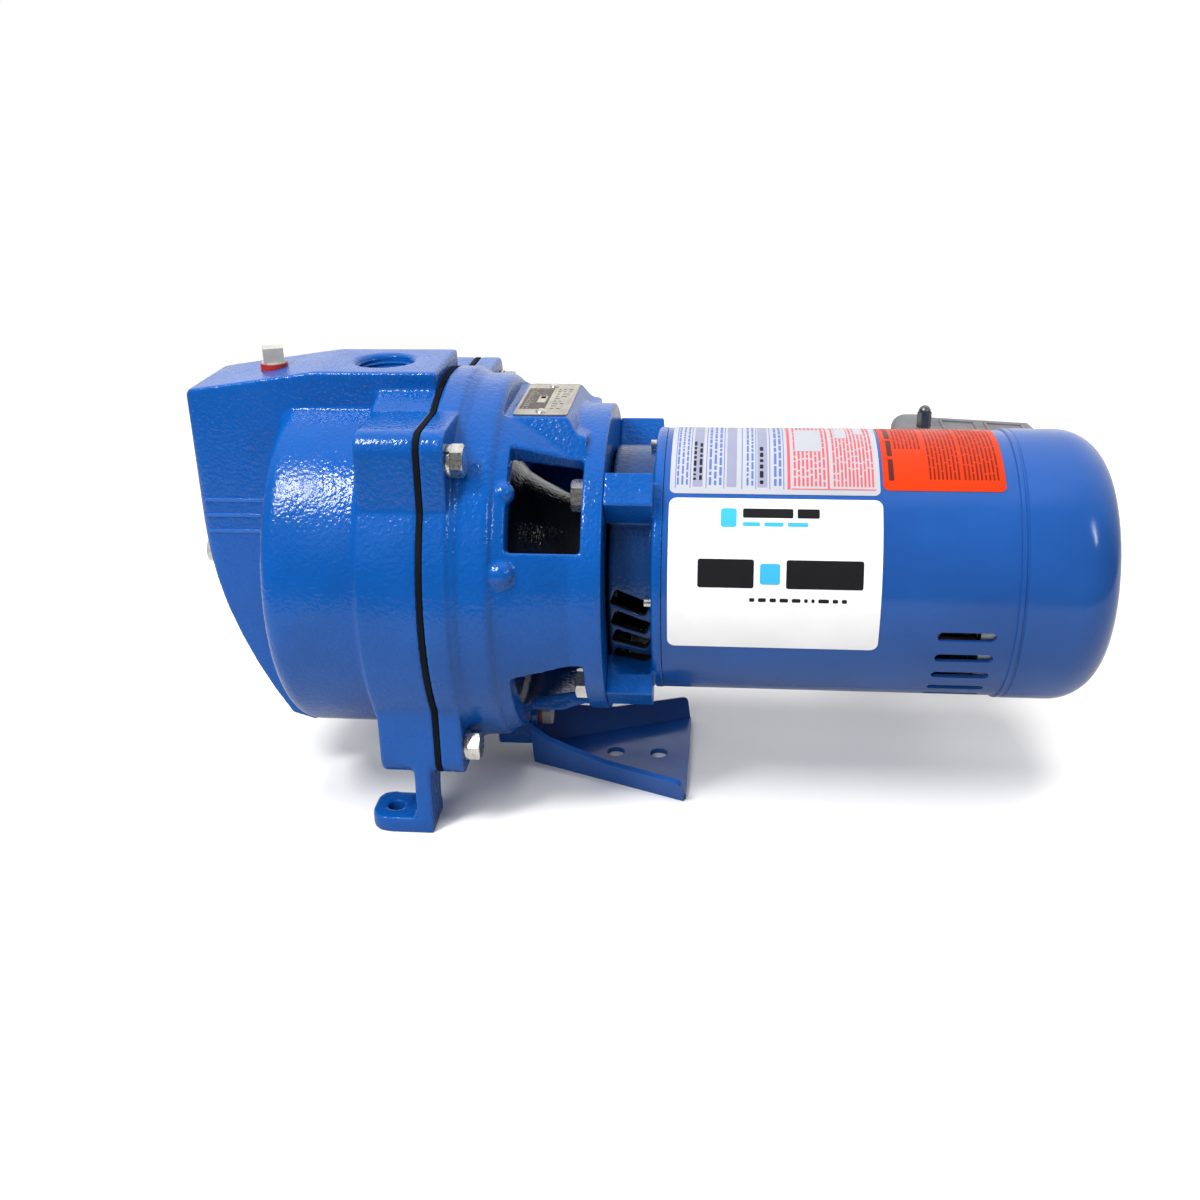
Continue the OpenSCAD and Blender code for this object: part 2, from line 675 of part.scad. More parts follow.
module motor_shell() {
  slot_x = 282;
  slot_len = 29;
  slot_h = 5.5;
  color(blue) difference() {
    ring(shell_x, seam_x - shell_x, shell_r, shell_r - 2);
    for (side = [0, 1], a = slot_angles) on_shaft(slot_x) rotate([0, 0, side == 0 ? a : 180 - a])
      translate([shell_r - 6, 0, 0]) rotate([0, 90, 0]) translate([-slot_len / 2, 0, 0])
        linear_extrude(12) round_rect(slot_len, slot_h, slot_h / 2 - 0.01);
    // lead hole of the conduit nipple
    translate([nipple_x, shell_r - 6, shaft_h + nipple_up]) rotate([-90, 0, 0]) cylinder(r = 8, h = 14);
  }
}

module stator_core() {
  color(steel) on_shaft(stator_x) linear_extrude(stator_len) difference() {
    circle(r = shell_r - 2.1);
    circle(r = rotor_r + 0.4);
    for (i = [0:slots - 1]) rotate([0, 0, 360 * i / slots]) {
      translate([rotor_r, -1.2]) square([3, 2.4]);
      translate([rotor_r + 2.6, -2.6]) square([15, 5.2]);
    }
    for (a = [0:90:270]) rotate([0, 0, a]) translate([through_r, 0]) circle(r = 3, $fn = 32);
  }
}

module stator_windings() {
  color(copper) union() {
    for (i = [0:slots - 1]) on_shaft(stator_x - 1) rotate([0, 0, 360 * i / slots])
      translate([rotor_r + 3.2, -2.2, 0]) cube([13.6, 4.4, stator_len + 2]);
    for (x = [stator_x - 20, stator_x + stator_len + 0.5]) on_shaft(x) rotate_extrude()
      translate([rotor_r + 10, 9.75]) round_rect(14, 19.5, 5);
  }
}

module shaft() {
  color("#d5d8db") turned([
    [0, 15], [5.5, 15], [5.5, 34.6], [shaft_r, 34.6], [shaft_r, front_bearing_x - 0.5],
    [bearing_bore, front_bearing_x - 0.5], [bearing_bore, front_bearing_x + 14],
    [10.5, front_bearing_x + 14], [10.5, rear_bearing_x - 30], [9.6, rear_bearing_x - 30],
    [9.6, rear_bearing_x - 1],
    [bearing_bore, rear_bearing_x - 1], [bearing_bore, rear_bearing_x + 15], [5, rear_bearing_x + 15],
    [5, rear_bearing_x + 20], [1.5, rear_bearing_x + 20], [1.5, rear_bearing_x + 17],
    [0, rear_bearing_x + 17]]);
}

module rotor_core() {
  color(steel) ring(stator_x, stator_len, rotor_r, 10.51);
}

module rotor_end_rings() {
  fin_len = 12;
  color("#b9bec4") for (x = [stator_x - 8, stator_x + stator_len]) {
    ring(x, 8, rotor_r - 2, 20);
    for (k = [0:45:315]) on_shaft(x < stator_x ? x - fin_len : x + 7.9) rotate([0, 0, k])
      translate([24, -1.2, 0]) cube([11, 2.4, fin_len + 0.1]);
  }
}

// ---------- starting governor and switch ----------

module governor_base() {
  color("#9aa0a6") union() {
    ring(governor_x + 3, 4, 14, 10.52);
    for (s = [-1, 1]) on_shaft(governor_x + 3) translate([-7, s > 0 ? 11 : -weight_pivot_r - 2, 0])
      cube([14, weight_pivot_r - 9, 1.8]);
    for (s = [-1, 1], y = [-6.5, 6.5]) on_shaft(governor_x + 4.5)
      translate([y - 1, s * weight_pivot_r - 2, 0]) cube([2, 4, 5.5]);
    for (s = [-1, 1]) translate([weight_pivot_x, 0, shaft_h + s * weight_pivot_r]) rotate([90, 0, 0])
      cylinder(r = 1, h = 13, center = true, $fn = 32);
  }
}

// Weight above the shaft: it swings out about its pin and draws the collar forward
module governor_weight() {
  translate([weight_pivot_x, 0, shaft_h + weight_pivot_r]) difference() {
    union() {
      translate([-1.9, -5, -1.9]) cube([4.1, 10, 5.9]);
      translate([1, -5, 3.5]) cube([11, 10, 5.5]);
    }
    rotate([90, 0, 0]) cylinder(r = 1.05, h = 20, center = true, $fn = 32);
  }
}

module governor_weight_upper() { color(steel) governor_weight(); }

module governor_weight_lower() {
  color(steel) translate([0, 0, 2 * shaft_h]) mirror([0, 0, 1]) governor_weight();
}

module governor_collar() {
  color("#e6e0cf") turned([[9.65, collar_x], [13, collar_x], [13, collar_x + 9], [19, collar_x + 9],
                           [19, collar_x + 11.5], [9.65, collar_x + 11.5]]);
}

module start_switch() {
  base_z = shaft_h + arm_pivot_z - 12;
  color("#5a2e1c") union() {
    translate([arm_x - 1, -14, base_z]) cube([6.4, 28, 8]);
    for (y = [-14, 10]) translate([arm_x + 5, y, base_z]) cube([14, 4, 8]);
    for (y = [-12, 9]) translate([arm_x - 1, y, base_z + 7]) cube([6.4, 3, 7]);
    translate([arm_x + 1.2, 0, shaft_h + arm_pivot_z]) rotate([90, 0, 0])
      cylinder(r = 1, h = 20, center = true, $fn = 32);
  }
}

module start_switch_arm() {
  color("#c07b3c") difference() {
    union() {
      translate([arm_x - 0.2, -6, shaft_h + arm_pivot_z - 2]) cube([2.8, 12, 7]);
      for (y = [-17, 14]) translate([arm_x - 0.2, y, shaft_h + arm_pivot_z + 4]) cube([1.4, 3, 34]);
      translate([arm_x - 0.2, -17, shaft_h + arm_pivot_z + 3]) cube([1.4, 34, 3]);
    }
    translate([arm_x + 1.2, 0, shaft_h + arm_pivot_z]) rotate([90, 0, 0])
      cylinder(r = 1.05, h = 30, center = true, $fn = 32);
  }
}

module rear_bracket() {
  color("#aeb4ba") difference() {
    turned([[69.1, seam_x - 16], [69.1, seam_x - 1], [66, seam_x - 1], [24, rear_bearing_x + bearing_w + 3],
            [11, rear_bearing_x + bearing_w + 3], [11, rear_bearing_x + bearing_w],
            [20, rear_bearing_x + bearing_w],
            [20, rear_bearing_x], [24, rear_bearing_x], [26, rear_bearing_x + 7], [62, seam_x - 7],
            [65, seam_x - 16]]);
    for (a = [0:90:270]) on_shaft(seam_x - 30) rotate([0, 0, a]) translate([through_r, 0, 0])
      cylinder(r = 2.6, h = 40, $fn = 32);
    for (a = [0:90:270]) on_shaft(seam_x - 1.05) rotate([0, 0, a]) translate([through_r, 0, 0])
      cylinder(r = 4.8, h = 8);
    for (a = [30:60:330]) on_shaft(seam_x - 20) rotate([0, 0, a]) translate([44, 0, 0])
      cylinder(r = 9, h = 40);
    for (s = [-1, 1]) bar_x(seam_x - 20, 40, s * cover_screw[0], cover_screw[1], 2.5 + thread_gap);
  }
}

module through_bolts() {
  color(zinc) for (a = [0:90:270]) on_shaft(seam_x - 1) rotate([0, 0, a]) translate([through_r, 0, 0]) {
    cylinder(r = 4.4, h = 3.4, $fn = 6);
    translate([0, 0, shell_x - 8 - seam_x]) cylinder(r = 2.4, h = seam_x - shell_x + 9, $fn = 32);
  }
}

module terminal_board() {
  color("#3b2219") difference() {
    translate([seam_x + 7, -30, shaft_h - 52]) cube([3, 60, 34]);
    for (y = [-22, 22]) translate([seam_x, y, shaft_h - 46]) rotate([0, 90, 0])
      cylinder(r = 2, h = 20, $fn = 32);
  }
  color("#c9a23f") for (y = [-18, -6, 6, 18])
    translate([seam_x + 10, y - 1.5, shaft_h - 40]) cube([7, 3, 1]);
  color("#3b2219") for (y = [-26, 26]) translate([seam_x + 1, y - 3, shaft_h - 34]) cube([6.2, 6, 6]);
}

module capacitor() {
  color("#15171a") translate([seam_x + 28, 0, shaft_h + 34]) rotate([90, 0, 0])
    cylinder(r = 17, h = 78, center = true);
  color(zinc) for (s = [-1, 1]) translate([seam_x + 28 + s * 6, -44, shaft_h + 34]) cube([1, 6, 5]);
}

module end_cover() {
  corner = [cover_r - cover_round, cover_x - cover_round];
  color(blue) difference() {
    turned(concat(
      [[cover_r - cover_t, seam_x], [cover_r, seam_x]], arc(corner[0], corner[1], cover_round, 0, 90, 6),
      [[0, cover_x], [0, cover_x - cover_t]], arc(corner[0], corner[1], cover_round - cover_t, 90, 0, 6)));
    for (s = [-1, 1]) bar_x(cover_x - 10, 20, s * cover_screw[0], cover_screw[1], 2.6);
  }
}

module end_cover_screws() {
  color(zinc) for (s = [-1, 1]) translate([cover_x, s * cover_screw[0], shaft_h + cover_screw[1]])
    rotate([0, 90, 0]) hex_bolt(2.5, 54, 5, 3.4);
}

// Label wrapped round the shell between two angles above the level of the shaft, on the near side
module wrapped_label(x, w, low, high) {
  on_shaft(x) rotate([0, 0, 180 - high]) rotate_extrude(angle = high - low)
    translate([shell_r + 0.02, 0]) square([0.25, w]);
}

module white_label() { color("white") wrapped_label(147, 106, -18, 46); }
module data_label() { color("#e4e6ee") wrapped_label(147, 105, 48, 112); }
module orange_label() { color("#e8541f") wrapped_label(253.5, 60, 50.5, 108); }

// ---------- pressure switch ----------

module switch_base() {
  z0 = shaft_h + base_down;
  color("#7c8186") difference() {
    union() {
      translate([switch_x + 2, switch_y + 2, z0]) cube([switch_len - 4, switch_depth - 4, 3]);
      translate([switch_mid_x, switch_mid_y, z0 - 14]) cylinder(r = 25, h = 14);
      translate([switch_mid_x, switch_mid_y, z0 - 24]) cylinder(r = 9, h = 11, $fn = 6);
      translate([stud_x, switch_mid_y, z0]) cylinder(r = 2.4, h = 58.5, $fn = 32);
      translate([switch_x - 4.1, switch_mid_y - 12, z0]) cube([3, 24, 30]);
      translate([switch_x - 4.1, switch_mid_y - 12, z0]) cube([8, 24, 3]);
      // shoulder stud that holds the range spring
      translate([spring_x, switch_mid_y, z0]) cylinder(r = 2.2, h = 38, $fn = 32);
      translate([spring_x, switch_mid_y, z0 + 32]) cylinder(r = 6.5, h = 3, $fn = 32);
    }
    translate([switch_mid_x, switch_mid_y, z0 - 30]) cylinder(r = 4.9, h = 22, $fn = 32);
    translate([switch_x - 10, switch_mid_y, shaft_h + nipple_up]) rotate([0, 90, 0]) cylinder(r = 8, h = 12);
  }
}

// Side outline of the switch cover, drawn in by the wall where wall is over 0
module cover_outline(wall) {
  z0 = shaft_h + base_down + 3.3 - (wall > 0 ? 1 : 0);
  top = shaft_h + switch_top - wall;
  left = switch_x + wall;
  right = switch_x + switch_len - wall;
  polygon(concat([[left, z0], [right, z0], [right, top - 14], [right - 11, top - 5], [left + 23, top - 1.8],
                  [left + 20, top]], arc(left + 8, top - 8, 8, 90, 180, 6)));
}

module cover_block(wall) {
  translate([0, switch_y + switch_depth - wall, 0]) rotate([90, 0, 0])
    linear_extrude(switch_depth - 2 * wall) cover_outline(wall);
}

module switch_cover() {
  color("#8b8f92") difference() {
    cover_block(0);
    cover_block(2);
    translate([stud_x, switch_mid_y, shaft_h]) cylinder(r = 2.8, h = 80, $fn = 32);
    translate([switch_x - 5, switch_mid_y, shaft_h + nipple_up]) rotate([0, 90, 0]) cylinder(r = 8, h = 12);
  }
}

module cover_nut() {
  color(zinc) translate([stud_x, switch_mid_y, shaft_h + switch_top + 0.1]) difference() {
    union() {
      cylinder(r = 4.3, h = 9, $fn = 6);
      translate([0, 0, 9.4]) sphere(r = 3.6, $fn = 32);
    }
    translate([0, 0, -1]) cylinder(r = 2.45, h = 8, $fn = 32);
  }
}

module switch_contacts() {
  color("#3a3d42") union() {
    translate([switch_x + 58, switch_y + 8, shaft_h + base_down + 3]) cube([18, switch_depth - 16, 3]);
    for (y = [switch_y + 10, switch_y + switch_depth - 14]) {
      translate([lever_x - 3, y, shaft_h + base_down + 5.9]) cube([6, 4, 8]);
    }
    translate([lever_x, switch_mid_y, shaft_h + lever_up]) rotate([90, 0, 0])
      cylinder(r = 1.2, h = switch_depth - 22, center = true, $fn = 32);
  }
}

module switch_lever() {
  color("#b9a36a") difference() {
    translate([switch_x + 26, switch_mid_y - 13, shaft_h + lever_up - 2.2]) cube([44, 26, 4.4]);
    translate([lever_x, switch_mid_y, shaft_h + lever_up]) rotate([90, 0, 0])
      cylinder(r = 1.26, h = 60, center = true, $fn = 32);
    translate([spring_x, switch_mid_y, shaft_h - 20]) cylinder(r = 2.7, h = 60, $fn = 32);
  }
}

module switch_spring() {
  color(zinc) translate([spring_x, switch_mid_y, shaft_h + lever_up + 3.3]) helix(4.9, 0.9, 3.1, 5);
}

module conduit_nipple() {
  y0 = 73;
  color("#777b80") union() {
    translate([nipple_x, y0 - 5, shaft_h + nipple_up]) rotate([-90, 0, 0]) difference() {
      cylinder(r = 7.8, h = switch_mid_y - y0 + 5);
      translate([0, 0, -1]) cylinder(r = 6.2, h = switch_mid_y - y0 + 6);
    }
    translate([nipple_x, y0, shaft_h + nipple_up]) rotate([-90, 0, 0]) difference() {
      cylinder(r = 11, h = 5, $fn = 6);
      translate([0, 0, -1]) cylinder(r = 7, h = 8);
    }
    translate([nipple_x, switch_mid_y, shaft_h + nipple_up]) rotate([0, 90, 0]) difference() {
      cylinder(r = 7.8, h = 13.9);
      translate([0, 0, 4]) cylinder(r = 6.2, h = 20);
    }
  }
}

// Round tube swept along points of the XZ plane; normals are [x, z] across the path
module flat_sweep(path, normals, r, sides = 12) {
  n = len(path) - 1;
  points = [for (i = [0:n], k = [0:sides - 1]) let (q = 360 * k / sides)
    [path[i][0] + r * cos(q) * normals[i][0], r * sin(q), path[i][1] + r * cos(q) * normals[i][1]]];
  walls = [for (i = [0:n - 1], k = [0:sides - 1])
    [i * sides + k, (i + 1) * sides + k, (i + 1) * sides + (k + 1) % sides, i * sides + (k + 1) % sides]];
  ends = [[for (k = [0:sides - 1]) k], [for (k = [sides - 1:-1:0]) n * sides + k]];
  polyhedron(points, concat(walls, ends));
}

// Copper pipe from below the switch, forward along the motor and up to the casing
module sensing_tube() {
  steps = 8;
  front = tapping_x + tube_bend;
  back = switch_mid_x - tube_bend;
  low = tube_up + tube_bend;
  path = concat(
    [[switch_mid_x, base_down - 28.5]],
    [for (i = [0:steps]) let (a = 90 * i / steps) [back + tube_bend * cos(a), low - tube_bend * sin(a)]],
    [for (i = [0:steps]) let (a = 90 * i / steps) [front - tube_bend * sin(a), low - tube_bend * cos(a)]],
    [[tapping_x, -8.2]]);
  normals = concat(
    [[1, 0]],
    [for (i = [0:steps]) let (a = 90 * i / steps) [cos(a), -sin(a)]],
    [for (i = [0:steps]) let (a = 90 * i / steps) [-sin(a), -cos(a)]],
    [[-1, 0]]);
  color(copper) translate([0, switch_mid_y, shaft_h]) flat_sweep(path, normals, tube_r);
}

module tube_fittings() {
  color("#c9a23f") {
    translate([switch_mid_x, switch_mid_y, shaft_h + base_down - 34]) difference() {
      union() {
        cylinder(r = 7.5, h = 9, $fn = 6);
        translate([0, 0, 8]) cylinder(r = 4.8, h = 14, $fn = 32);
      }
      translate([0, 0, -1]) cylinder(r = tube_r + 0.05, h = 7, $fn = 32);
    }
    translate([tapping_x, drum_r - 6, shaft_h]) rotate([-90, 0, 0]) {
      cylinder(r = plug_r, h = 8, $fn = 32);
      translate([0, 0, 7.9]) cylinder(r = 6.6, h = switch_mid_y - drum_r + 12 - 7.9 + 1, $fn = 32);
    }
    translate([tapping_x, switch_mid_y, shaft_h - 13]) difference() {
      cylinder(r = 7.5, h = 9, $fn = 6);
      translate([0, 0, -1]) cylinder(r = tube_r + 0.05, h = 6, $fn = 32);
    }
  }
}

casing();
casing_gasket();
priming_plug();
plug_sealant();
nozzle_plug();
drain_plug();
nozzle();
venturi();
venturi_ring();
diffuser();
diffuser_screws();
impeller();
adapter();
casing_bolts();
casing_lock_washers();
seal_seat();
seal_head();
seal_spring();
slinger();
nameplate();
nameplate_pins();
foot_bracket();
foot_bolt();
foot_lock_washer();
motor_bolts();
motor_front_bracket();
bearing_outer_rings();
bearing_inner_rings();
bearing_balls();
bearing_cages();
motor_shell();
stator_core();
stator_windings();
shaft();
rotor_core();
rotor_end_rings();
governor_base();
governor_collar();
governor_weight_upper();
governor_weight_lower();
start_switch();
start_switch_arm();
rear_bracket();
through_bolts();
terminal_board();
capacitor();
end_cover();
end_cover_screws();
white_label();
data_label();
orange_label();
switch_base();
switch_cover();
cover_nut();
switch_contacts();
switch_lever();
switch_spring();
conduit_nipple();
sensing_tube();
tube_fittings();
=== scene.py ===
import json
import math
import random

import bmesh
import bpy
from mathutils import Matrix, Vector


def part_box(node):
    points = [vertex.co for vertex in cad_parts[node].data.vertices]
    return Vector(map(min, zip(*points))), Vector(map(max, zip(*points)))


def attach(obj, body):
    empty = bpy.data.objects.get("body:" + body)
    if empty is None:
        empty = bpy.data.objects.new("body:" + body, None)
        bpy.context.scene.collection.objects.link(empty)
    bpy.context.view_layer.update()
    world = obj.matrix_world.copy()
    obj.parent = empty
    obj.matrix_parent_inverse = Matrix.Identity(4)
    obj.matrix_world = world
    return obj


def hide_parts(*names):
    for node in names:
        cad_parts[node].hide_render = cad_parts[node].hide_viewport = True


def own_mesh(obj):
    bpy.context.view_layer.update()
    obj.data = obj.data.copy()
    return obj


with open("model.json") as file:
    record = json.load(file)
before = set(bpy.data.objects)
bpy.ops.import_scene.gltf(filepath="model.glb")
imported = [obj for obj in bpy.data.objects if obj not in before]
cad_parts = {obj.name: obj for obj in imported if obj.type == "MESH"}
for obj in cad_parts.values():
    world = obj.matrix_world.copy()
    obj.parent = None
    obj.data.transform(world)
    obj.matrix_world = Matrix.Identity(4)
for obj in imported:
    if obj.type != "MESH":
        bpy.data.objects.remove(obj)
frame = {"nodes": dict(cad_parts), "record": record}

MM = 0.001
NODES = frame["nodes"]
SLOTS = {part["node"]: part["material_slot"] for part in frame["record"]["subparts"]}
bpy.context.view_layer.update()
AXIS_Z = sum(corner.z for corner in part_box("shaft")) / 2


# ---------- node materials ----------

class Graph:
    """A material being built from nodes round one Principled shader."""

    def __init__(self, name, color, rough, metal=0.0, **sockets):
        self.mat = bpy.data.materials.new(name)
        self.mat.use_nodes = True
        self.tree = self.mat.node_tree
        self.shader = self.tree.nodes["Principled BSDF"]
        self.shader.inputs["Base Color"].default_value = (*color, 1)
        self.shader.inputs["Roughness"].default_value = rough
        self.shader.inputs["Metallic"].default_value = metal
        for key, value in sockets.items():
            self.shader.inputs[key.replace("_", " ")].default_value = value
        self.place = self.add("ShaderNodeTexCoord").outputs["Object"]

    def add(self, kind, **settings):
        node = self.tree.nodes.new(kind)
        for key, value in settings.items():
            setattr(node, key, value)
        return node

    def link(self, source, target):
        self.tree.links.new(source, target)

    def feed(self, node, socket, value):
        """Links value if it is an output, and sets it if it is a number."""
        if isinstance(value, bpy.types.NodeSocket):
            self.link(value, node.inputs[socket])
        else:
            node.inputs[socket].default_value = value

    def stretched(self, x, y, z):
        node = self.add("ShaderNodeVectorMath", operation="MULTIPLY")
        self.link(self.place, node.inputs[0])
        node.inputs[1].default_value = (x, y, z)
        return node.outputs[0]

    def noise(self, scale, detail=2.0, at=None):
        node = self.add("ShaderNodeTexNoise")
        node.inputs["Scale"].default_value = scale
        node.inputs["Detail"].default_value = detail
        self.link(at or self.place, node.inputs["Vector"])
        return node.outputs["Fac"]

    def cells(self, scale, at=None):
        node = self.add("ShaderNodeTexVoronoi")
        node.inputs["Scale"].default_value = scale
        self.link(at or self.place, node.inputs["Vector"])
        return node.outputs["Distance"]

    def math(self, operation, a, b=0.0):
        node = self.add("ShaderNodeMath", operation=operation)
        self.feed(node, 0, a)
        self.feed(node, 1, b)
        return node.outputs[0]

    def step(self, value, low, high, to_low=0.0, to_high=1.0):
        node = self.add("ShaderNodeMapRange", interpolation_type="SMOOTHSTEP")
        self.link(value, node.inputs["Value"])
        span = {"From Min": low, "From Max": high, "To Min": to_low, "To Max": to_high}
        for key, number in span.items():
            node.inputs[key].default_value = number
        return node.outputs["Result"]

    def blend(self, factor, a, b):
        node = self.add("ShaderNodeMix", data_type="RGBA")
        self.feed(node, 0, factor)
        for socket, value in ((6, a), (7, b)):
            if isinstance(value, tuple):
                node.inputs[socket].default_value = (*value, 1)
            else:
                self.link(value, node.inputs[socket])
        return node.outputs[2]

    def color(self, source):
        self.link(source, self.shader.inputs["Base Color"])

    def rough(self, source):
        self.link(source, self.shader.inputs["Roughness"])

    def bump(self, *layers):
        """Each layer is a height and its depth in metres."""
        normal = None
        for height, depth in layers:
            node = self.add("ShaderNodeBump")
            node.inputs["Distance"].default_value = depth
            self.link(height, node.inputs["Height"])
            if normal:
                self.link(normal, node.inputs["Normal"])
            normal = node.outputs["Normal"]
        self.link(normal, self.shader.inputs["Normal"])


def tinted(color, share):
    return tuple(min(1.0, c * share) for c in color)


def varied(g, color, low, high, scale, detail=3.0):
    """Lets a colour drift between two shades of itself."""
    mask = g.step(g.noise(scale, detail), 0.3, 0.7)
    mixed = g.blend(mask, tinted(color, low), tinted(color, high))
    g.color(mixed)
    return mixed


def shaft_reach(g):
    """Distance of a point from the shaft's axis, and its place along X."""
    split = g.add("ShaderNodeSeparateXYZ")
    g.link(g.place, split.inputs[0])
    up = g.math("SUBTRACT", split.outputs["Z"], AXIS_Z)
    square = g.math("ADD", g.math("MULTIPLY", up, up),
                    g.math("MULTIPLY", split.outputs["Y"], split.outputs["Y"]))
    return g.math("SQRT", square), split.outputs["X"]


CAST_BLUE = (0.002, 0.076, 0.330)
SHEET_BLUE = (0.013, 0.078, 0.308)
CAST_GRAIN = 0.35 * MM
CAST_WAVES = 0.25 * MM
GUARD_R = 56.5 * MM           # reach of the adapter's bare shaft guard
GUARD_BEHIND = 33.5 * MM      # the guard starts this far behind the adapter's front
DRUM_R = 62.4 * MM            # just outside the front bracket's drum
DRUM_BORE_R = 61.3 * MM       # inside its wall, where the vents' edges are painted near-black as shade


def enamel(name, blue, grain, waves, cast=True):
    """Blue enamel; grain and waves are the depths of its fine and broad unevenness.

    On castings it is worn lighter along edges and is painted darker in corners as painted shade.
    """
    g = Graph(name, blue, 0.20, Specular_IOR_Level=0.36)
    shade = varied(g, blue, 0.90, 1.08, 18)
    if cast:
        edge = g.add("ShaderNodeNewGeometry").outputs["Pointiness"]
        worn = g.step(edge, 0.515, 0.58, 0.0, 0.55)
        # painted shade: corners with low pointiness are painted a darker blue
        painted_corner_shade = g.step(edge, 0.42, 0.487, 0.7, 0.0)
        lighter = g.blend(worn, shade, tuple(c * 1.5 + 0.03 for c in blue))
        g.color(g.blend(painted_corner_shade, lighter, tinted(blue, 0.35)))
    g.rough(g.step(g.noise(55, 4), 0.25, 0.75, 0.13, 0.24))
    g.bump((g.noise(60, 2), waves), (g.noise(480, 1), grain))
    return g


def darkened(g, mask, low, high):
    """Lays a dark, uneven colour over a material where the mask is 1: a bare part's own colour, or
    painted shade.
    """
    painted = g.shader.inputs["Base Color"].links[0].from_socket
    g.color(g.blend(mask, painted, g.blend(g.noise(90, 3), low, high)))


def adapter_enamel():
    """The castings' enamel, with the bare dark shaft guard in the middle."""
    g = enamel("enamel_adapter", CAST_BLUE, CAST_GRAIN, CAST_WAVES)
    reach, along = shaft_reach(g)
    inside = g.math("LESS_THAN", reach, GUARD_R)
    behind = g.math("GREATER_THAN", along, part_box("adapter")[0].x + GUARD_BEHIND)
    darkened(g, g.math("MULTIPLY", inside, behind), (0.012, 0.013, 0.016), (0.026, 0.028, 0.032))
    return g


def bracket_enamel():
    """The castings' enamel, with painted shade darkening the bracket's drum and near-black painted shade
    inside its vents.
    """
    g = enamel("enamel_bracket", CAST_BLUE, CAST_GRAIN, CAST_WAVES)
    reach = shaft_reach(g)[0]
    # painted shade: the drum's recess between the ears is painted darker
    drum = g.math("MULTIPLY", g.math("LESS_THAN", reach, DRUM_R), 0.8)
    darkened(g, drum, tinted(CAST_BLUE, 0.30), (0.010, 0.026, 0.070))
    # painted shade: the insides of the vents are painted near-black
    vents = g.math("LESS_THAN", reach, DRUM_BORE_R)
    darkened(g, vents, (0.008, 0.007, 0.006), (0.020, 0.016, 0.014))
    return g


def metal(name, color, rough, grain=0.02 * MM, lines=(1, 1, 1), spots=None):
    g = Graph(name, color, rough, metal=1.0)
    shade = varied(g, color, 0.82, 1.12, 70)
    if spots:
        mask = g.step(g.noise(160, 4), 0.50, 0.66, 0.0, 0.85)
        g.color(g.blend(mask, shade, spots))
    streaks = g.noise(700, 3, g.stretched(*lines))
    g.rough(g.step(streaks, 0.25, 0.75, rough * 0.75, rough * 1.35))
    g.bump((streaks, grain))
    return g


def moulded(name, color, rough, grain=0.03 * MM, scale=500, **sockets):
    g = Graph(name, color, rough, **sockets)
    varied(g, color, 0.85, 1.15, 60)
    g.rough(g.step(g.noise(120, 3), 0.3, 0.7, rough * 0.85, rough * 1.2))
    g.bump((g.noise(scale, 3), grain))
    return g


def rusty():
    g = Graph("rusty_washer", (0.45, 0.16, 0.05), 0.7, metal=0.2)
    mask = g.step(g.noise(260, 5), 0.35, 0.65)
    g.color(g.blend(mask, (0.55, 0.17, 0.045), (0.30, 0.22, 0.17)))
    g.rough(g.step(g.noise(300, 3), 0.3, 0.7, 0.5, 0.85))
    g.bump((g.noise(600, 4), 0.15 * MM))
    return g


def laminated():
    g = Graph("lamination", (0.30, 0.31, 0.33), 0.45, metal=1.0)
    wave = g.add("ShaderNodeTexWave", bands_direction="X")
    wave.inputs["Scale"].default_value = 320
    g.link(g.place, wave.inputs["Vector"])
    g.color(g.blend(wave.outputs["Fac"], (0.16, 0.17, 0.19), (0.38, 0.39, 0.41)))
    g.rough(g.step(g.noise(90, 3), 0.3, 0.7, 0.35, 0.6))
    g.bump((wave.outputs["Fac"], 0.1 * MM))
    return g


def windings():
    g = Graph("copper_windings", (0.55, 0.24, 0.10), 0.35, metal=0.8, Coat_Weight=0.4)
    wires = g.cells(620, g.stretched(0.35, 1, 1))
    g.color(g.blend(g.step(wires, 0.1, 0.6), (0.62, 0.27, 0.11), (0.20, 0.07, 0.03)))
    g.rough(g.step(g.noise(100, 3), 0.3, 0.7, 0.28, 0.5))
    g.bump((wires, 0.4 * MM))
    return g


def paper(name, color, rough=0.38):
    """Laminated label stock or its printing."""
    g = Graph(name, color, rough, Specular_IOR_Level=0.16)
    varied(g, color, 0.97, 1.03, 30)
    g.rough(g.step(g.noise(80, 3), 0.3, 0.7, rough * 0.85, rough * 1.2))
    g.bump((g.noise(90, 3), 0.12 * MM))
    return g


